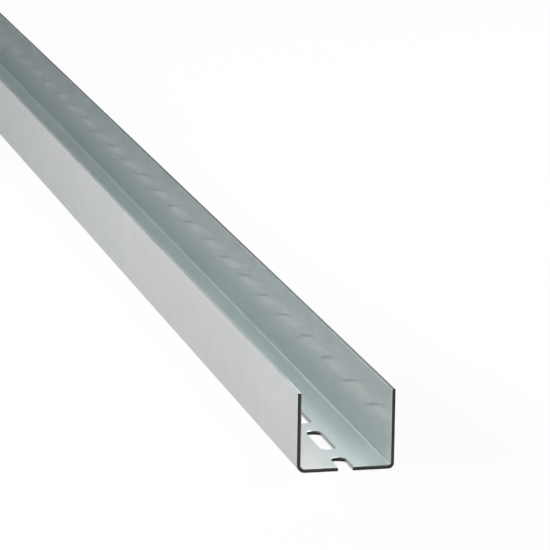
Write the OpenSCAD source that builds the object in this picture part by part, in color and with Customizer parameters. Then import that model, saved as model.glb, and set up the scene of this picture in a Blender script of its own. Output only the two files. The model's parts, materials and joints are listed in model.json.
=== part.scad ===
// Drywall door-jamb stud: one strip of galvanised steel sheet, rolled into a plain U channel,
// with a row of long slots punched along the middle of the web.
// X runs across the web, Y runs along the stud and Z runs up the flanges.
// The origin is on the underside of the web, halfway along it.

/* [Stock] */
// Length that the stud is cut to
stud_length = 2600; // [2400:50:4500]
// Thickness of the galvanised sheet
sheet_t = 2; // [1:0.1:3]

/* [Channel section] */
// Width of the web, over the outside of both flanges
web_w = 48.8; // [40:0.1:150]
// Height of each flange, from the underside of the web
flange_h = 40; // [30:0.5:60]
// Inside radius of the bend at the left flange, the softer of the two
left_bend_r = 2; // [0.5:0.1:5]
// Inside radius of the bend at the right flange
right_bend_r = 0.8; // [0.5:0.1:5]

/* [Web slots] */
// Width of a slot, which is also the diameter of its round ends
slot_w = 7.5; // [4:0.5:14]
// Length of a slot over its round ends
slot_length = 35; // [20:0.5:42]
// Distance between the middles of neighbouring slots
slot_pitch = 50; // [45:1:100]
// Distance from the near end to the middle of the first slot, 0 where the cut halves a slot
first_slot_y = 0; // [0:1:60]

/* [Hidden] */
$fn = 64;

near_end_y = -stud_length / 2;
inner_w = web_w - 2 * sheet_t;
slot_end_y = slot_length / 2 - slot_w / 2;
last_slot = floor((stud_length + slot_length / 2 - first_slot_y) / slot_pitch);
punch_h = 3 * sheet_t;

// Closed outline with square upper corners and one radius at each lower corner
module trough(width, height, left_r, right_r) {
    translate([-width / 2 + left_r, 0])
        square([width - left_r - right_r, height]);
    translate([-width / 2, left_r])
        square([left_r, height - left_r]);
    translate([width / 2 - right_r, right_r])
        square([right_r, height - right_r]);
    translate([-width / 2 + left_r, left_r])
        circle(r = left_r);
    translate([width / 2 - right_r, right_r])
        circle(r = right_r);
}

// The folded sheet seen from its end: web below, flanges standing up at both sides
module channel_section() {
    difference() {
        trough(web_w, flange_h, left_bend_r + sheet_t, right_bend_r + sheet_t);
        translate([0, sheet_t])
            trough(inner_w, flange_h, left_bend_r, right_bend_r);
    }
}

// One punched slot with round ends, long way along Y, reaching past both faces of the web
module slot_punch() {
    translate([-slot_w / 2, -slot_end_y, -sheet_t])
        cube([slot_w, 2 * slot_end_y, punch_h]);
    for (side = [-1, 1])
        translate([0, side * slot_end_y, -sheet_t])
            cylinder(d = slot_w, h = punch_h);
}

// The rolled channel with its row of slots, cut square at both ends
module stud_channel() {
    color("silver")
    difference() {
        translate([0, stud_length / 2, 0])
            rotate([90, 0, 0])
                linear_extrude(height = stud_length)
                    channel_section();
        for (i = [0 : last_slot])
            translate([0, near_end_y + first_slot_y + i * slot_pitch, 0])
                slot_punch();
    }
}

stud_channel();
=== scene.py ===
"""Drywall door-jamb stud: one rolled and punched channel of galvanised sheet.

Laid out as a Blender add-on and run as a script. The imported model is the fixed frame.
The sheet is built again here with what the solid leaves out: the drawn-in lips of the
punched slots, the slit edges of the strip, the sheared ends and the slight waves of the
sheet. All lengths are in metres. X runs across the web, Y along the stud and Z up the
flanges. The near end is the one at the lowest Y.
"""

import json
import math

import bpy
from mathutils import Matrix, Vector


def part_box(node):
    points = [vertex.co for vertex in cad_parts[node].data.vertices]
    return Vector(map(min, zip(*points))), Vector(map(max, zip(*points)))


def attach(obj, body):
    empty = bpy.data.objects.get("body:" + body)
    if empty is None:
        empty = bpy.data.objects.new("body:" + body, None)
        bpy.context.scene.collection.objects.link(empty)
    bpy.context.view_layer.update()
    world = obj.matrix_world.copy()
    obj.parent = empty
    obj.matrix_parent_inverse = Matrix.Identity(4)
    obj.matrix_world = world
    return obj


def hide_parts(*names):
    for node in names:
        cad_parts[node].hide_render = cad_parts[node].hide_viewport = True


bl_info = {
    "name": "Slotted Steel Stud",
    "version": (1, 0, 0),
    "blender": (4, 5, 0),
    "location": "3D View > Sidebar > Stud",
    "description": "Builds a galvanised U-channel stud with a slotted web, "
                   "and a plain studio for it",
    "category": "Object",
}

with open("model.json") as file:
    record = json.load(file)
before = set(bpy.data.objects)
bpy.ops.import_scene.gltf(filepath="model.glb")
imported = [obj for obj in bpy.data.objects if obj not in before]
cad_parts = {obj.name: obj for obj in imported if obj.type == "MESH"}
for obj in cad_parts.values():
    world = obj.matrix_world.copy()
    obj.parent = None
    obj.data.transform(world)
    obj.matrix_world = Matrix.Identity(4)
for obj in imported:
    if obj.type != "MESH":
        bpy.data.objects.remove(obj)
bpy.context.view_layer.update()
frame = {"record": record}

NODE = "stud_channel"
LOW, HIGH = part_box(NODE)
SLOT_MOUNTS = [m for m in frame["record"]["mounts"] if m["name"].startswith("web_slots")]
SLOT_DIMS = SLOT_MOUNTS[0]["dims"]
SHEET = SLOT_MOUNTS[0]["pos_m"][2]          # the slots' mounts lie on the web's inner face
PITCH = SLOT_DIMS["spacing_y_mm"] / 1000
SLOT_R = SLOT_DIMS["hole_r_mm"] / 1000
# half the length of a slot's straight side
SLOT_STRAIGHT = SLOT_DIMS["slot_length_mm"] / 2000 - SLOT_R
# from the near end to the middle of the row's first slot; 0 if the cut goes through it
FIRST_SLOT = (SLOT_MOUNTS[0]["pos_m"][1] - PITCH / 2 - LOW.y) % PITCH


# ---------------------------------------------------------------- sizes and colours

def length_prop(name, description, default):
    """A length in metres, with enough digits shown for sheet metal."""
    return bpy.props.FloatProperty(
        name=name, description=description, default=default, subtype="DISTANCE",
        unit="LENGTH", precision=5)


def colour_prop(name, description, default):
    """A colour of three parts."""
    return bpy.props.FloatVectorProperty(
        name=name, description=description, default=default, size=3,
        subtype="COLOR", min=0, max=1)


def share_prop(name, description, default):
    """A number from 0 to 1."""
    return bpy.props.FloatProperty(
        name=name, description=description, default=default, min=0, max=1, subtype="FACTOR")


def power_prop(name, description, default):
    """A lamp's power in watts."""
    return bpy.props.FloatProperty(
        name=name, description=description, default=default, min=0, unit="POWER")


def angle_prop(name, description, degrees):
    """An angle, given here in degrees."""
    return bpy.props.FloatProperty(
        name=name, description=description, default=math.radians(degrees), subtype="ANGLE")


class StudShape(bpy.types.PropertyGroup):
    """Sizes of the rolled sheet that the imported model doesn't state."""
    left_bend: length_prop(
        "Left Bend", "Inside radius of the bend at the left flange", 0.002)
    right_bend: length_prop(
        "Right Bend", "Inside radius of the bend at the right flange", 0.0013)
    right_heel: length_prop(
        "Right Heel", "Outside radius of the bend at the right flange", 0.0028)
    slot_lip: length_prop(
        "Slot Lip", "How far the punch draws the sheet in round a slot", 0.0006)
    slit_round: length_prop(
        "Slit Rounding", "Rounding along the edges that the strip was slit to", 0.0002)
    cut_lip: length_prop(
        "Cut Lip", "How far the blade draws the zinc over a sheared end", 0.0004)
    cut_waver: length_prop(
        "Cut Waver", "How far a sheared end wanders from square", 0.00006)
    flange_wave: length_prop(
        "Flange Wave", "Height of the long waves along a flange's free edge", 0.00004)
    web_wave: length_prop(
        "Web Wave", "Height of the long waves in the web", 0.00003)


class StudFinish(bpy.types.PropertyGroup):
    """Colours and gloss of the zinc, and colours of the bare steel with its painted shade
    and sheen.
    """
    zinc_light: colour_prop(
        "Light Zinc", "Reflection colour of the brighter patches of zinc",
        (0.655, 0.705, 0.705))
    zinc_dark: colour_prop(
        "Dark Zinc", "Reflection colour of the duller patches of zinc",
        (0.590, 0.655, 0.660))
    satin: share_prop("Satin", "Roughness of the smoother zinc", 0.44)
    dull: share_prop("Dull", "Roughness of the duller zinc", 0.52)
    skin_roughness: share_prop(
        "Skin Roughness", "Roughness of the thin glossy skin on the zinc", 0.07)
    far_gloss: share_prop(
        "Far Gloss", "Share of the glossy skin left from the stud's middle on", 0.12)
    # Painted shade: this dark steel colour darkens the right slit edge and a band of each
    # slot's lip
    slit_steel_painted_shade: colour_prop(
        "Slit Edge", "Colour of the strip's slit edges", (0.145, 0.165, 0.17))
    # Painted shade: this near-black colour darkens the sheared ends and slot walls, which
    # lie in shade; the blade marks on it are real
    sheared_steel_painted_shade: colour_prop(
        "Sheared Edge", "Colour of sheared and punched steel, square on",
        (0.055, 0.06, 0.055))
    # Painted sheen: the pale colour the edges take when seen along their face, standing in
    # for their reflection
    grazing_painted_sheen: colour_prop(
        "Burnished Edge", "Colour of the same steel seen along its face",
        (0.92, 0.955, 0.96))


class StudStudio(bpy.types.PropertyGroup):
    """The floor, the soft lamps and the camera."""
    floor_colour: colour_prop("Floor", "Colour of the floor", (0.85, 0.85, 0.85))
    floor_glow: colour_prop(
        "Floor Glow", "Colour of the floor as the metal mirrors it", (1.0, 0.955, 0.945))
    warm_light: colour_prop(
        "Warm Light", "Colour of the lamps beside the near half", (1.0, 0.93, 0.9))
    cool_light: colour_prop(
        "Cool Light", "Colour of the lamps over and along the stud", (0.925, 0.99, 1.0))
    side_power: power_prop(
        "Side Lamp", "Power of the large soft lamp beside the far half", 10)
    low_power: power_prop("Low Lamp", "Power of the small lamp low at the left", 13.4)
    right_power: power_prop(
        "Right Lamp", "Power of the large soft lamp high at the right", 22)
    top_power: power_prop("Top Lamp", "Power of the large soft lamp over the far half", 2.5)
    strip_power: power_prop(
        "Strip Lamps", "Power of the two small lamps low over the stud, together", 1.05)
    far_power: power_prop(
        "Far Lamp", "Power of the small lamp further along the stud", 0.38)
    wall_power: power_prop("Wall Lamp", "Power of the lit wall far behind, at the left", 2)
    room_colour: colour_prop(
        "Room Colour", "Colour of the even light from all round", (0.88, 0.94, 1.0))
    sky: bpy.props.FloatProperty(
        name="Room Light", description="Strength of the even light from all round",
        default=0.185, min=0)
    azimuth: angle_prop(
        "Camera Azimuth", "Turn of the camera to the left of the stud's line", 13.66)
    elevation: angle_prop(
        "Camera Elevation", "Height of the camera above the floor, as an angle", 12.99)
    roll: angle_prop(
        "Camera Roll", "Turn of the camera about its own line of sight", 0.867)
    distance: length_prop(
        "Camera Distance", "From the camera to the point that it aims at", 2.0584)
    aim_along: length_prop("Aim Along", "Aimed point's distance from the near end", 0.1513)
    aim_height: length_prop("Aim Height", "Aimed point's height above the floor", 0.0633)
    lens: bpy.props.FloatProperty(
        name="Lens", description="Focal length of the camera", default=259.8, min=20,
        subtype="DISTANCE_CAMERA", unit="CAMERA")


# ---------------------------------------------------------------- node helpers

def new_group(name, inputs, outputs):
    """An empty shader node group of plain numbers; inputs are (name, default)."""
    tree = bpy.data.node_groups.new(name, "ShaderNodeTree")
    for label, default in inputs:
        socket = tree.interface.new_socket(
            label, in_out="INPUT", socket_type="NodeSocketFloat")
        socket.default_value = default
    for label in outputs:
        tree.interface.new_socket(label, in_out="OUTPUT", socket_type="NodeSocketFloat")
    return tree, tree.nodes.new("NodeGroupInput"), tree.nodes.new("NodeGroupOutput")


def place_group(tree, group, values):
    """One use of a node group, with its own input values."""
    node = tree.nodes.new("ShaderNodeGroup")
    node.node_tree = group
    for key, value in values.items():
        node.inputs[key].default_value = value
    return node


def add_node(tree, kind, values=None, **settings):
    """A node with its settings and the values of its unlinked inputs."""
    node = tree.nodes.new(kind)
    for key, value in settings.items():
        setattr(node, key, value)
    for key, value in (values or {}).items():
        node.inputs[key].default_value = value
    return node


def math_node(tree, operation, a, b=None, c=None, clamp=False):
    """One step of arithmetic on numbers or sockets. Returns the result's socket."""
    node = tree.nodes.new("ShaderNodeMath")
    node.operation = operation
    node.use_clamp = clamp
    for index, value in enumerate((a, b, c)):
        if value is None:
            continue
        if isinstance(value, bpy.types.NodeSocket):
            tree.links.new(value, node.inputs[index])
        else:
            node.inputs[index].default_value = value
    return node.outputs[0]


def about_half(tree, value, amount):
    """How far a noise is from its middle value of a half, scaled."""
    return math_node(tree, "MULTIPLY", math_node(tree, "SUBTRACT", value, 0.5), amount)


def sum_of_shares(tree, first, first_share, second, second_share):
    """Two values added, each times its own share."""
    return math_node(tree, "MULTIPLY_ADD", first, first_share,
                     math_node(tree, "MULTIPLY", second, second_share))


def mixed_colour(tree, mask, dark, light):
    """The first colour where the mask is 0, the second one where it is 1."""
    mix = add_node(tree, "ShaderNodeMix", data_type="RGBA")
    tree.links.new(mask, mix.inputs["Factor"])
    mix.inputs["A"].default_value = (*dark, 1)
    mix.inputs["B"].default_value = (*light, 1)
    return mix.outputs["Result"]


def mixed_value(tree, mask, low, high):
    """The first value where the mask is 0, the second one where it is 1."""
    span = add_node(tree, "ShaderNodeMapRange", {"To Min": low, "To Max": high})
    tree.links.new(mask, span.inputs["Value"])
    return span.outputs[0]


def stretched_noise(tree, points, waves, detail, roughness, shift=(0, 0, 0)):
    """Noise of the object's own points; waves are how many go in a metre of X, Y and Z."""
    mapping = add_node(tree, "ShaderNodeMapping", {"Scale": waves, "Location": shift})
    tree.links.new(points, mapping.inputs["Vector"])
    noise = add_node(tree, "ShaderNodeTexNoise",
                     {"Scale": 1.0, "Detail": detail, "Roughness": roughness})
    tree.links.new(mapping.outputs[0], noise.inputs["Vector"])
    return noise.outputs["Fac"]


def add_bump(tree, height, distance, shader):
    """Fine relief, in which a height of 1 stands for the distance."""
    bump = add_node(tree, "ShaderNodeBump", {"Distance": distance, "Strength": 1.0})
    tree.links.new(height, bump.inputs["Height"])
    tree.links.new(bump.outputs[0], shader.inputs["Normal"])


def new_material(name):
    """A material with its node tree and its Principled BSDF."""
    material = bpy.data.materials.new(name)
    material.use_nodes = True
    return material, material.node_tree, material.node_tree.nodes["Principled BSDF"]


def toned(colour, factor):
    """A colour made lighter or darker."""
    return [min(1.0, part * factor) for part in colour]


# ---------------------------------------------------------------- finishes

# Markings of the metal, as waves in a metre of X, Y and Z
PATCHES = (28, 11, 28)              # slow change of brightness in the zinc
CLOUDS = (75, 48, 75)               # smaller change, which the dull spots follow too
ROLL_LINES = (1500, 3.5, 1500)      # fine lines that the rolls leave along the strip
ROLL_BANDS = (260, 1.2, 260)        # wider bands of such lines
BLADE_MARKS = (2600, 2600, 2600)    # grain of torn and sheared steel
BLOTCHES = (260, 260, 260)          # larger spots in that grain

ZINC_VALUES = {"Spangle Size": 160.0, "Spangle Amount": 0.15, "Line Amount": 0.25}
MARK_VALUES = {"Mark Amount": 1.0}
ZINC_RELIEF, SLIT_RELIEF, SHEARED_RELIEF = 0.000012, 0.00002, 0.00001   # bump distances
SKIN_IOR = 1.8                      # high enough for the skin to mirror the slots


def zinc_skin_group():
    """Patches, spangle and rolling lines of hot-dip zinc on sheet.

    Patch: change of brightness. Dull: where the zinc is rougher. Gloss: how much of the
    thin glossy skin there is. Height: for bump.
    """
    tree, inlet, outlet = new_group(
        "zinc_skin",
        [("Spangle Size", 160.0), ("Spangle Amount", 0.15), ("Line Amount", 0.25),
         ("Far Gloss", 0.12)],
        ["Patch", "Dull", "Gloss", "Height"])
    points = tree.nodes.new("ShaderNodeTexCoord").outputs["Object"]
    patch = stretched_noise(tree, points, PATCHES, 3.0, 0.55)
    clouds = stretched_noise(tree, points, CLOUDS, 2.0, 0.5, (3.1, 7.7, 1.3))
    # the crystals of the zinc, each with its own brightness and dullness
    spangle = add_node(tree, "ShaderNodeTexVoronoi", {"Randomness": 0.9}, feature="F1")
    tree.links.new(points, spangle.inputs["Vector"])
    tree.links.new(inlet.outputs["Spangle Size"], spangle.inputs["Scale"])
    facet = add_node(tree, "ShaderNodeSeparateColor")
    tree.links.new(spangle.outputs["Color"], facet.inputs[0])
    bright_facet, dull_facet = facet.outputs[0], facet.outputs[1]
    lines = stretched_noise(tree, points, ROLL_LINES, 2.0, 0.6)
    bands = stretched_noise(tree, points, ROLL_BANDS, 1.0, 0.5, (0.4, 2.2, 5.5))
    drawn = sum_of_shares(tree, lines, 0.6, bands, 0.4)

    tone = math_node(tree, "ADD", about_half(tree, patch, 1.5),
                     about_half(tree, clouds, 0.7))
    for marking, amount in ((bright_facet, "Spangle Amount"), (drawn, "Line Amount")):
        marked = about_half(tree, marking, inlet.outputs[amount])
        tone = math_node(tree, "ADD", tone, marked)
    tone = math_node(tree, "ADD", tone, 0.5, clamp=True)
    dull = math_node(tree, "ADD", about_half(tree, clouds, 0.9),
                     about_half(tree, dull_facet, 0.3))
    dull = math_node(tree, "ADD", dull, 0.5, clamp=True)
    # the glossy skin is whole at the near end and thins out up to the stud's middle; the
    # dull spots take up to a quarter of it away
    place = add_node(tree, "ShaderNodeSeparateXYZ")
    tree.links.new(points, place.inputs[0])
    along = add_node(tree, "ShaderNodeMapRange",
                     {"From Min": LOW.y, "From Max": 0.0, "To Min": 1.0})
    tree.links.new(place.outputs["Y"], along.inputs["Value"])
    tree.links.new(inlet.outputs["Far Gloss"], along.inputs["To Max"])
    left_by_dull = mixed_value(tree, dull, 1.0, 0.75)
    gloss = math_node(tree, "MULTIPLY", along.outputs[0], left_by_dull)
    height = sum_of_shares(tree, drawn, 0.7, clouds, 0.6)
    for label, value in (("Patch", tone), ("Dull", dull), ("Gloss", gloss),
                         ("Height", height)):
        tree.links.new(value, outlet.inputs[label])
    return tree


def shear_marks_group():
    """Marks that a blade or punch leaves through the thickness of the sheet."""
    tree, inlet, outlet = new_group(
        "shear_marks", [("Mark Amount", 1.0)], ["Mark", "Height"])
    points = tree.nodes.new("ShaderNodeTexCoord").outputs["Object"]
    marks = stretched_noise(tree, points, BLADE_MARKS, 2.0, 0.6)
    blotches = stretched_noise(tree, points, BLOTCHES, 2.0, 0.5, (1.7, 0.3, 4.4))
    both = sum_of_shares(tree, marks, 0.6, blotches, 0.4)
    scaled = about_half(tree, both, inlet.outputs["Mark Amount"])
    tree.links.new(math_node(tree, "ADD", scaled, 0.5, clamp=True), outlet.inputs["Mark"])
    tree.links.new(both, outlet.inputs["Height"])
    return tree


def zinc_face_material(finish, skin):
    """Both faces of the sheet: satin zinc under a thin glossy skin."""
    material, tree, shader = new_material("zinc_face")
    look = place_group(tree, skin, {**ZINC_VALUES, "Far Gloss": finish.far_gloss})
    colour = mixed_colour(tree, look.outputs["Patch"], finish.zinc_dark, finish.zinc_light)
    roughness = mixed_value(tree, look.outputs["Dull"], finish.satin, finish.dull)
    tree.links.new(colour, shader.inputs["Base Color"])
    tree.links.new(roughness, shader.inputs["Roughness"])
    shader.inputs["Metallic"].default_value = 1.0
    tree.links.new(look.outputs["Gloss"], shader.inputs["Coat Weight"])
    shader.inputs["Coat Roughness"].default_value = finish.skin_roughness
    shader.inputs["Coat IOR"].default_value = SKIN_IOR
    add_bump(tree, look.outputs["Height"], ZINC_RELIEF, shader)
    return material


def slit_edge_material(finish, skin, marks):
    """Slit edges and slot lips: dark steel as painted shade, with zinc crept over it."""
    material, tree, shader = new_material("slit_edge")
    look = place_group(tree, skin, ZINC_VALUES)
    wear = place_group(tree, marks, MARK_VALUES)
    crept = math_node(tree, "MULTIPLY", look.outputs["Patch"], wear.outputs["Mark"])
    # Painted shade: the dark steel colour, lighter where the zinc has crept over it
    colour = mixed_colour(tree, crept, finish.slit_steel_painted_shade, toned(finish.slit_steel_painted_shade, 1.9))
    roughness = mixed_value(tree, wear.outputs["Mark"], 0.38, 0.5)
    tree.links.new(colour, shader.inputs["Base Color"])
    tree.links.new(roughness, shader.inputs["Roughness"])
    shader.inputs["Metallic"].default_value = 0.6
    add_bump(tree, wear.outputs["Height"], SLIT_RELIEF, shader)
    return material


def sheared_edge_material(finish, marks):
    """Sheared ends and slot walls: painted shade square on, painted sheen along the face.
    """
    material, tree, shader = new_material("sheared_edge")
    wear = place_group(tree, marks, MARK_VALUES)
    # Painted shade: the dark colour of the edge seen square on, lightened and darkened by
    # the real blade marks
    marked_painted_shade = mixed_colour(tree, wear.outputs["Mark"], toned(finish.sheared_steel_painted_shade, 0.75),
                        toned(finish.sheared_steel_painted_shade, 1.6))
    # Painted sheen: Layer Weight's Facing turns the colour pale as the face is seen more
    # along itself
    view = add_node(tree, "ShaderNodeLayerWeight", {"Blend": 0.5})
    painted_sheen_share = add_node(tree, "ShaderNodeMapRange", {"From Min": 0.45, "From Max": 0.78},
                     interpolation_type="SMOOTHSTEP")
    tree.links.new(view.outputs["Facing"], painted_sheen_share.inputs["Value"])
    colour = add_node(tree, "ShaderNodeMix", data_type="RGBA")
    tree.links.new(painted_sheen_share.outputs[0], colour.inputs["Factor"])
    tree.links.new(marked_painted_shade, colour.inputs["A"])
    colour.inputs["B"].default_value = (*finish.grazing_painted_sheen, 1)
    roughness = mixed_value(tree, wear.outputs["Mark"], 0.2, 0.3)
    tree.links.new(colour.outputs["Result"], shader.inputs["Base Color"])
    tree.links.new(roughness, shader.inputs["Roughness"])
    shader.inputs["Metallic"].default_value = 1.0
    add_bump(tree, wear.outputs["Height"], SHEARED_RELIEF, shader)
    return material


# ---------------------------------------------------------------- the rolled sheet

PANEL_X = 0.009          # half the width of the strip of web that is meshed round the slots
PANEL_STEPS = 4          # steps from that strip's edge to the middle of the web
ARC_STEPS = 8            # steps round a quarter of a slot
STRAIGHT_STEPS = 3       # steps along half of a slot's straight side
FLANGE_STEPS = 6         # steps up a flange
BEND_STEPS = 8           # steps round a bend
WEB_STEPS = 4            # steps from a bend to the strip round the slots
CORNER_STEP = 0.0006     # first step away from a corner of the sheet, which keeps it crisp
RING = 0.0011            # width of the ring of faces next to a slot
SAME_PLACE = 1e-6        # lengths that differ by less are the same
KEY_SCALE = 1e7          # points are told apart by whole tenths of a micrometre

ZINC, SLIT, SHEARED = 0, 1, 2       # places of the three finishes in the mesh's materials

# The edges of the sheet, in steps from the inner face to the outer face. Each step is
# (setback into the metal, depth, more depth): the first two are counted in roundings of
# that edge and the last in thicknesses of the sheet.
EDGE_STEPS = {
    "slot": ((1, 0, 0), (0.35, 0.12, 0), (0.08, 0.45, 0),
             (0, 1, 0), (0, 0, 0.55), (0.17, 0, 1)),
    "strip": ((1, 0, 0), (0.3, 0.25, 0), (0, 1, 0),
              (0, -1, 1), (0.3, -0.25, 1), (1, 0, 1)),
    "end": ((0.7, 0, 0), (0.25, 0.3, 0), (0, 1, 0),
            (0, 0, 0.6), (0.2, -0.2, 1), (0.4, 0, 1)),
}
LEVELS = len(EDGE_STEPS["slot"])
# The finish of each band between those steps; the two slit edges of the strip differ
BAND_FINISHES = {
    # The SLIT bands of the slot lips and the right slit edge are dark steel as painted
    # shade; the left slit edge is all zinc
    "slot": (ZINC, ZINC, SLIT, SHEARED, SHEARED),
    "left_strip": (ZINC, ZINC, ZINC, ZINC, ZINC),
    "right_strip": (ZINC, ZINC, SLIT, ZINC, ZINC),
    "end": (ZINC, ZINC, SHEARED, SHEARED, SHEARED),
}

# Waves of the sheet and of its cut ends, each (radians in a metre, share, phase, phase
# that the right flange gains and the left one loses)
FLANGE_WAVES = ((math.tau / 0.37, 1.0, 0.0, 1.1), (math.tau / 0.143, 0.6, 2.3, 1.0),
                (math.tau / 0.061, 0.3, 0.0, 0.7))
WEB_WAVES = ((math.tau / 0.29, 1.0, 0.4, 0.0), (math.tau / PITCH, 0.5, math.pi / 2, 0.0))
CUT_WAVES = ((610.0, 1.0, 0.5, 0.0), (1730.0, 0.6, 1.9, 0.0))
FLARE = 1.5              # how steeply a flange's wave grows towards its free edge


def ripple(place, waves, side=0):
    """Height of some waves at a place, from -1 to 1; side is -1 left and 1 right."""
    height = sum(share * math.sin(rate * place + phase + turn * side)
                 for rate, share, phase, turn in waves)
    return height / sum(wave[1] for wave in waves)


def edge_profiles(shape):
    """The steps of each kind of edge, as (setback into the metal, depth below the face)."""
    roundings = {"slot": shape.slot_lip, "strip": shape.slit_round, "end": shape.cut_lip}
    return {kind: [(back * roundings[kind], down * roundings[kind] + deep * SHEET)
                   for back, down, deep in steps]
            for kind, steps in EDGE_STEPS.items()}


def spread(start, stop, count):
    """count steps from start to stop, both ends included."""
    return [start + (stop - start) * i / count for i in range(count + 1)]


def belly(x, half_width):
    """Share of the web's wave at x: all of it in the middle and none at the sides."""
    return max(0.0, 1 - (x / half_width) ** 2)


def section_columns(shape):
    """Columns of the sheet across its section, from the left flange's tip to the right's.

    Each is (point on the inner face, direction to the outer face, direction across the
    sheet, thickness there, share of the flange's wave, share of the web's wave). They
    come with the index of the last one on the left of the slots.
    """
    inner_x, web_top = HIGH.x - SHEET, LOW.z + SHEET
    left, right = shape.left_bend, shape.right_bend
    columns = []

    def flange(side, heights):
        for z in heights:
            lift = (z - web_top) / (HIGH.z - web_top)
            columns.append(((side * inner_x, z), (side, 0), (0, side), SHEET,
                            lift ** FLARE, 0.0))

    def bend(side, radius, heel, turn_from, turn_to):
        centre = Vector((side * (inner_x - radius), web_top + radius))
        heel_centre = Vector((side * (HIGH.x - heel), LOW.z + heel))
        for angle in spread(turn_from, turn_to, BEND_STEPS)[1:-1]:
            turn = Vector((math.cos(angle), math.sin(angle)))
            inside, outside = centre + radius * turn, heel_centre + heel * turn
            out = (outside - inside).normalized()
            columns.append((tuple(inside), tuple(out), (-turn.y, turn.x),
                            (outside - inside).length, 0.0, 0.0))

    def web(xs):
        for x in xs:
            columns.append(((x, web_top), (0, -1), (1, 0), SHEET, 0.0, belly(x, inner_x)))

    flange(-1, [HIGH.z] + spread(HIGH.z - CORNER_STEP, web_top + left, FLANGE_STEPS))
    bend(-1, left, left + SHEET, math.pi, 1.5 * math.pi)
    web(spread(-(inner_x - left), -PANEL_X, WEB_STEPS))
    split = len(columns) - 1
    web(spread(PANEL_X, inner_x - right, WEB_STEPS))
    bend(1, right, shape.right_heel, 1.5 * math.pi, 2 * math.pi)
    flange(1, spread(web_top + right, HIGH.z - CORNER_STEP, FLANGE_STEPS) + [HIGH.z])
    return columns, split


def panel_column(x):
    """The column at x in the panel round the slots, as section_columns gives them."""
    return ((x, LOW.z + SHEET), (0, -1), (1, 0), SHEET, 0.0, belly(x, HIGH.x))


def side_steps():
    """Places along half of a slot's straight side, from the slot's middle."""
    return [0.0] + spread(CORNER_STEP, SLOT_STRAIGHT, STRAIGHT_STEPS - 1)


def half_rows():
    """Rows from a slot's middle to halfway to the next slot."""
    return side_steps() + spread(SLOT_STRAIGHT, PITCH / 2, ARC_STEPS - PANEL_STEPS)[1:]


def quarter_outline(reach):
    """Points round a quarter of a slot, from its long side to its end, and the way out."""
    radius = SLOT_R + reach
    points = [((radius, y), (1.0, 0.0)) for y in side_steps()]
    for angle in spread(0, math.pi / 2, ARC_STEPS)[1:]:
        way = (math.cos(angle), math.sin(angle))
        points.append(((radius * way[0], SLOT_STRAIGHT + radius * way[1]), way))
    return points


class SheetMesh:
    """Collects the sheet's points on both faces and through its edges, and their faces."""

    def __init__(self, shape):
        self.shape = shape
        self.profiles = edge_profiles(shape)
        self.points, self.faces, self.finishes = [], [], []
        self.known = {}

    def place(self, column, y, across, along, depth):
        """Adds a column's point at y, moved across and along the sheet and down into it."""
        (x, z), out, way, thickness, flange_share, web_share = column
        side = 1 if out[0] > 0 else -1
        wave = (self.shape.flange_wave * flange_share * ripple(y, FLANGE_WAVES, side)
                + self.shape.web_wave * web_share * ripple(y, WEB_WAVES))
        off = depth * thickness / SHEET + wave
        self.points.append((x + way[0] * across + out[0] * off, y + along,
                            z + way[1] * across + out[1] * off))
        return len(self.points) - 1

    def vertex(self, key, column, y, borders=()):
        """Indices of a sheet point: every level of the edge on a border, else both faces.

        borders is a list of (kind of edge, way into the metal across, way into it along).
        """
        if key in self.known:
            return self.known[key]
        if borders:
            levels = []
            for step in range(LEVELS):
                across = along = depth = 0.0
                for kind, way_across, way_along in borders:
                    back, down = self.profiles[kind][step]
                    across += way_across * back
                    along += way_along * back
                    depth = max(depth, down)
                levels.append(self.place(column, y, across, along, depth))
        else:
            top = self.place(column, y, 0, 0, 0)
            bottom = self.place(column, y, 0, 0, SHEET)
            levels = [top] + [None] * (LEVELS - 2) + [bottom]
        self.known[key] = levels
        return levels

    def cell(self, a, b, c, d, turn_left):
        """One cell of the sheet, on both faces; turn_left is as seen from inside."""
        if not turn_left:
            a, b, c, d = d, c, b, a
        self.faces.append((a[0], b[0], c[0], d[0]))
        self.faces.append((d[-1], c[-1], b[-1], a[-1]))
        self.finishes += [ZINC, ZINC]

    def wall(self, a, b, kind, forward):
        """The edge of the sheet between a and b; forward has the metal left of a to b."""
        if not forward:
            a, b = b, a
        for step in range(LEVELS - 1):
            self.faces.append((b[step], a[step], a[step + 1], b[step + 1]))
            self.finishes.append(BAND_FINISHES[kind][step])


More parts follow.
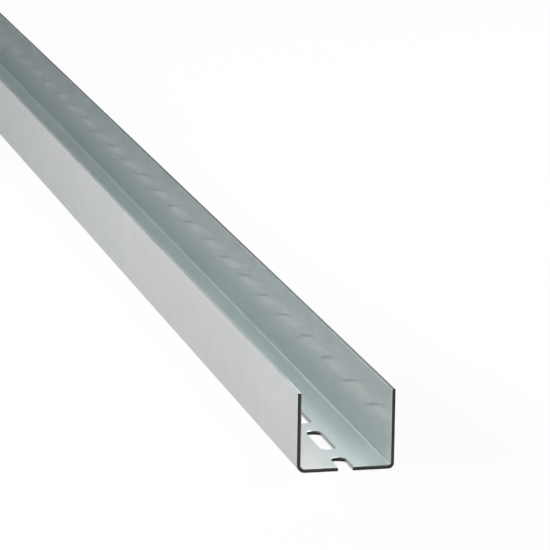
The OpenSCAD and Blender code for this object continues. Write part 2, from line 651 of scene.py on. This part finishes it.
def build_sheet(shape):
    """The whole channel as one closed mesh, made slot by slot.

    A slot's part of the sheet has a half before the slot's middle (half is -1) and one
    after it (half is 1), each with a left side (side is -1) and a right one (side is 1).
    """
    sheet = SheetMesh(shape)
    columns, split = section_columns(shape)
    last = len(columns) - 1
    rows = half_rows()
    panel_row = len(rows) - 1
    count = round((HIGH.y - LOW.y) / PITCH)
    if min(FIRST_SLOT, abs(FIRST_SLOT - PITCH)) > SAME_PLACE:
        raise ValueError("the near end doesn't cut a slot in half, which this mesh expects")
    if abs(count * PITCH - (HIGH.y - LOW.y)) > SAME_PLACE:
        raise ValueError("the length isn't a whole number of slot pitches")

    def key_of(kind, first, second):
        return kind, round(first * KEY_SCALE), round(second * KEY_SCALE)

    def along_stud(slot, half, distance):
        return LOW.y + slot * PITCH + half * distance

    def waver(place):
        return shape.cut_waver * ripple(place, CUT_WAVES)

    def grid_point(col, slot, half, row):
        """A point of the plain columns."""
        y = along_stud(slot, half, rows[row])
        key = key_of("column", col, y)
        borders = []
        if col == 0:
            borders.append(("strip", 1, 0))
        if col == last:
            borders.append(("strip", -1, 0))
        if row == 0 and slot in (0, count):
            borders.append(("end", 0, half))
            y += half * waver(sum(columns[col][0]))
        return sheet.vertex(key, columns[col], y, borders)

    def rim_point(side, half, slot, index):
        """A point on the panel's border, counted from the slot's middle row to its end."""
        if index <= panel_row:
            return grid_point(split if side < 0 else split + 1, slot, half, index)
        x = side * PANEL_X * (1 - (index - panel_row) / PANEL_STEPS)
        y = along_stud(slot, half, rows[-1])
        return sheet.vertex(key_of("rim", x, y), panel_column(x), y)

    def ring_point(side, half, slot, index, reach):
        """A point on the slot's outline, or at reach outside it."""
        (x, distance), (way_x, way_y) = quarter_outline(reach)[index]
        x *= side
        y = along_stud(slot, half, distance)
        key = key_of("ring" if reach else "outline", x, y)
        borders = [] if reach else [("slot", side * way_x, half * way_y)]
        if index == 0 and slot in (0, count):
            borders.append(("end", 0, half))
            y += half * waver(x)
        return sheet.vertex(key, panel_column(x), y, borders)

    def plain_half(slot, half):
        """The flanges, the bends and the web up to the panel, with the slit edges."""
        for row in range(panel_row):
            for col in range(last):
                if col == split:
                    continue
                sheet.cell(grid_point(col, slot, half, row),
                           grid_point(col + 1, slot, half, row),
                           grid_point(col + 1, slot, half, row + 1),
                           grid_point(col, slot, half, row + 1), half > 0)
            for col, kind, forward in ((0, "left_strip", half < 0),
                                       (last, "right_strip", half > 0)):
                sheet.wall(grid_point(col, slot, half, row),
                           grid_point(col, slot, half, row + 1), kind, forward)

    def slot_quarter(slot, half, side):
        """The panel round a quarter of a slot, with the slot's punched wall."""
        turned = side == half
        for index in range(ARC_STEPS + STRAIGHT_STEPS):
            s0, s1 = (ring_point(side, half, slot, index + k, 0) for k in (0, 1))
            r0, r1 = (ring_point(side, half, slot, index + k, RING) for k in (0, 1))
            p0, p1 = (rim_point(side, half, slot, index + k) for k in (0, 1))
            sheet.cell(s0, r0, r1, s1, turned)
            sheet.cell(r0, p0, p1, r1, turned)
            sheet.wall(s0, s1, "slot", not turned)

    def sheared_end(slot, half):
        """The cut through the middle of the first or last slot, on both sides of it."""
        left = [grid_point(col, slot, half, 0) for col in range(split + 1)]
        left += [ring_point(-1, half, slot, 0, RING), ring_point(-1, half, slot, 0, 0)]
        right = [ring_point(1, half, slot, 0, 0), ring_point(1, half, slot, 0, RING)]
        right += [grid_point(col, slot, half, 0) for col in range(split + 1, last + 1)]
        for line in (left, right):
            for a, b in zip(line, line[1:]):
                sheet.wall(a, b, "end", half > 0)

    for slot in range(count + 1):
        for half in (-1, 1):
            if (slot, half) in ((0, -1), (count, 1)):
                continue
            plain_half(slot, half)
            for side in (-1, 1):
                slot_quarter(slot, half, side)
    sheared_end(0, 1)
    sheared_end(count, -1)
    return sheet


class STUD_OT_channel(bpy.types.Operator):
    """Build the rolled and punched channel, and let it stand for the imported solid"""
    bl_idname = "stud.channel"
    bl_label = "Rolled Channel"

    def execute(self, context):
        shape, finish = context.scene.stud_shape, context.scene.stud_finish
        sheet = build_sheet(shape)
        mesh = bpy.data.meshes.new("stud_channel_skin")
        mesh.from_pydata(sheet.points, [], sheet.faces)
        mesh.polygons.foreach_set("material_index", sheet.finishes)
        mesh.polygons.foreach_set("use_smooth", [True] * len(mesh.polygons))
        if mesh.validate():
            raise RuntimeError("the channel's mesh had faces that had to be mended")
        skin, marks = zinc_skin_group(), shear_marks_group()
        mesh.materials.append(zinc_face_material(finish, skin))
        mesh.materials.append(slit_edge_material(finish, skin, marks))
        mesh.materials.append(sheared_edge_material(finish, marks))
        piece = bpy.data.objects.new("stud_channel_skin", mesh)
        context.scene.collection.objects.link(piece)
        weighted = piece.modifiers.new("flat_face_normals", "WEIGHTED_NORMAL")
        weighted.mode = "FACE_AREA"
        weighted.weight = 50
        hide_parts(NODE)
        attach(piece, "root")
        return {"FINISHED"}


# ---------------------------------------------------------------- floor, lamps and camera

FLOOR_REACH = 30.0       # half the floor's side
FLOOR_GAP = 0.0001       # the floor lies this far below the stud
SEEN_SHARE = 0.93        # share of plain white in the floor as the camera sees it
MIRRORED_SHARE = 0.75    # share of the glow in the floor as the metal mirrors it
MIRRORED_GLOW = 0.61     # strength of that glow

# Each lamp's name, place, aimed point, size, property with its power, share of that power
# and property with its colour. Y is counted from the near end.
LAMPS = (
    ("side_lamp", (-1.4, 2.25, 0.9), (0, 2.25, 0), (0.8, 0.8),
     "side_power", 1, "cool_light"),
    ("low_lamp", (-1.0, 0.0, 0.55), (-0.02, 0.1, 0.02), (0.5, 0.3),
     "low_power", 1, "warm_light"),
    ("right_lamp", (0.8, 0.9, 1.5), (0.24, 0.9, 0), (0.8, 0.8),
     "right_power", 1, "warm_light"),
    ("top_lamp", (-0.5, 2.25, 1.3), (0, 2.25, 0), (0.8, 0.8),
     "top_power", 1, "cool_light"),
    ("strip_lamp_left", (-0.35, 0.6, 0.35), (0, 0.05, 0.02), (0.5, 0.3),
     "strip_power", 0.58, "cool_light"),
    ("strip_lamp_right", (0.35, 0.6, 0.35), (0, 0.05, 0.02), (0.5, 0.3),
     "strip_power", 0.42, "warm_light"),
    ("far_lamp", (-0.35, 1.6, 0.65), (0, 0.05, 0.02), (0.5, 0.3),
     "far_power", 1, "cool_light"),
    ("wall_lamp", (-1.1, 6.5, 1.75), (0, 0.3, 0), (3.6, 0.9),
     "wall_power", 1, "cool_light"),
)


def floor_material(studio):
    """Pale floor that shows white to the camera and keeps a faint shadow."""
    material, tree, shader = new_material("studio_floor")
    shader.inputs["Base Color"].default_value = (*studio.floor_colour, 1)
    shader.inputs["Roughness"].default_value = 1.0
    shader.inputs["Specular IOR Level"].default_value = 0.0
    light_path = tree.nodes.new("ShaderNodeLightPath")
    seen = light_path.outputs["Is Camera Ray"]
    mirrored = light_path.outputs["Is Glossy Ray"]
    glow = tree.nodes.new("ShaderNodeEmission")
    tree.links.new(mixed_colour(tree, seen, studio.floor_glow, (1, 1, 1)),
                   glow.inputs["Color"])
    tree.links.new(math_node(tree, "MULTIPLY_ADD", mirrored, MIRRORED_GLOW, seen),
                   glow.inputs["Strength"])
    mix = tree.nodes.new("ShaderNodeMixShader")
    tree.links.new(sum_of_shares(tree, seen, SEEN_SHARE, mirrored, MIRRORED_SHARE),
                   mix.inputs[0])
    tree.links.new(shader.outputs[0], mix.inputs[1])
    tree.links.new(glow.outputs[0], mix.inputs[2])
    tree.links.new(mix.outputs[0], tree.nodes["Material Output"].inputs["Surface"])
    return material


def studio_floor(scene, studio):
    """A large square just under the stud."""
    mesh = bpy.data.meshes.new("floor")
    z = LOW.z - FLOOR_GAP
    corners = [(x * FLOOR_REACH, y * FLOOR_REACH, z)
               for x, y in ((-1, -1), (1, -1), (1, 1), (-1, 1))]
    mesh.from_pydata(corners, [], [(0, 1, 2, 3)])
    mesh.materials.append(floor_material(studio))
    floor = bpy.data.objects.new("floor", mesh)
    scene.collection.objects.link(floor)


def from_near_end(point):
    """A point that is given from the middle of the near end, in the frame."""
    return point[0], LOW.y + point[1], point[2]


def soft_lamp(scene, name, place, target, size, power, colour):
    """A rectangular lamp that shines at its target and isn't seen itself."""
    data = bpy.data.lights.new(name, "AREA")
    data.shape, data.size, data.size_y = "RECTANGLE", size[0], size[1]
    data.energy, data.color = power, colour
    lamp = bpy.data.objects.new(name, data)
    lamp.location = place
    lamp.rotation_mode = "QUATERNION"
    lamp.rotation_quaternion = (Vector(target) - Vector(place)).to_track_quat("-Z", "Y")
    lamp.visible_camera = False
    scene.collection.objects.link(lamp)


def studio_world(strength, colour):
    """Even room light; the camera sees plain white."""
    world = bpy.data.worlds.new("studio_world")
    world.use_nodes = True
    tree = world.node_tree
    backdrop = tree.nodes["Background"]
    seen = tree.nodes.new("ShaderNodeLightPath").outputs["Is Camera Ray"]
    tree.links.new(mixed_colour(tree, seen, colour, (1, 1, 1)), backdrop.inputs["Color"])
    level = math_node(tree, "MULTIPLY_ADD", seen, 1 - strength, strength)
    tree.links.new(level, backdrop.inputs["Strength"])
    return world


def studio_camera(scene, studio):
    """Camera in front of the near end, a little to its left and above it."""
    sight = Vector((math.sin(studio.azimuth) * math.cos(studio.elevation),
                    math.cos(studio.azimuth) * math.cos(studio.elevation),
                    -math.sin(studio.elevation)))
    aim = Vector((0, LOW.y + studio.aim_along, studio.aim_height))
    camera = bpy.data.objects.new("camera", bpy.data.cameras.new("camera"))
    camera.data.lens = studio.lens
    camera.data.sensor_width = 36
    camera.data.clip_end = 200
    turn = sight.to_track_quat("-Z", "Y").to_matrix() @ Matrix.Rotation(studio.roll, 3, "Z")
    camera.matrix_world = Matrix.Translation(aim - sight * studio.distance) @ turn.to_4x4()
    scene.collection.objects.link(camera)
    scene.camera = camera


class STUD_OT_studio(bpy.types.Operator):
    """Build the floor, the soft lamps, the room light and the camera"""
    bl_idname = "stud.studio"
    bl_label = "Studio"

    def execute(self, context):
        scene, studio = context.scene, context.scene.stud_studio
        studio_floor(scene, studio)
        for name, place, target, size, power, share, colour in LAMPS:
            soft_lamp(scene, name, from_near_end(place), from_near_end(target), size,
                      getattr(studio, power) * share, getattr(studio, colour))
        scene.world = studio_world(studio.sky, studio.room_colour)
        scene.view_settings.view_transform = "Standard"
        studio_camera(scene, studio)
        return {"FINISHED"}


# ---------------------------------------------------------------- add-on and run

class STUD_PT_panel(bpy.types.Panel):
    """Lists the stud's sizes, its finish, the studio and the steps that build them"""
    bl_label = "Slotted Steel Stud"
    bl_idname = "STUD_PT_panel"
    bl_space_type = "VIEW_3D"
    bl_region_type = "UI"
    bl_category = "Stud"

    def draw(self, context):
        for owner, operator in (("stud_shape", None), ("stud_finish", STUD_OT_channel),
                                ("stud_studio", STUD_OT_studio)):
            box = self.layout.box()
            group = getattr(context.scene, owner)
            for key in group.__annotations__:
                box.prop(group, key)
            if operator:
                box.operator(operator.bl_idname)


CLASSES = (StudShape, StudFinish, StudStudio, STUD_OT_channel, STUD_OT_studio,
           STUD_PT_panel)


def register():
    for cls in CLASSES:
        bpy.utils.register_class(cls)
    bpy.types.Scene.stud_shape = bpy.props.PointerProperty(type=StudShape)
    bpy.types.Scene.stud_finish = bpy.props.PointerProperty(type=StudFinish)
    bpy.types.Scene.stud_studio = bpy.props.PointerProperty(type=StudStudio)


def unregister():
    del bpy.types.Scene.stud_studio
    del bpy.types.Scene.stud_finish
    del bpy.types.Scene.stud_shape
    for cls in reversed(CLASSES):
        bpy.utils.unregister_class(cls)


def main():
    register()
    bpy.ops.stud.channel()
    bpy.ops.stud.studio()


if __name__ == "__main__":
    main()
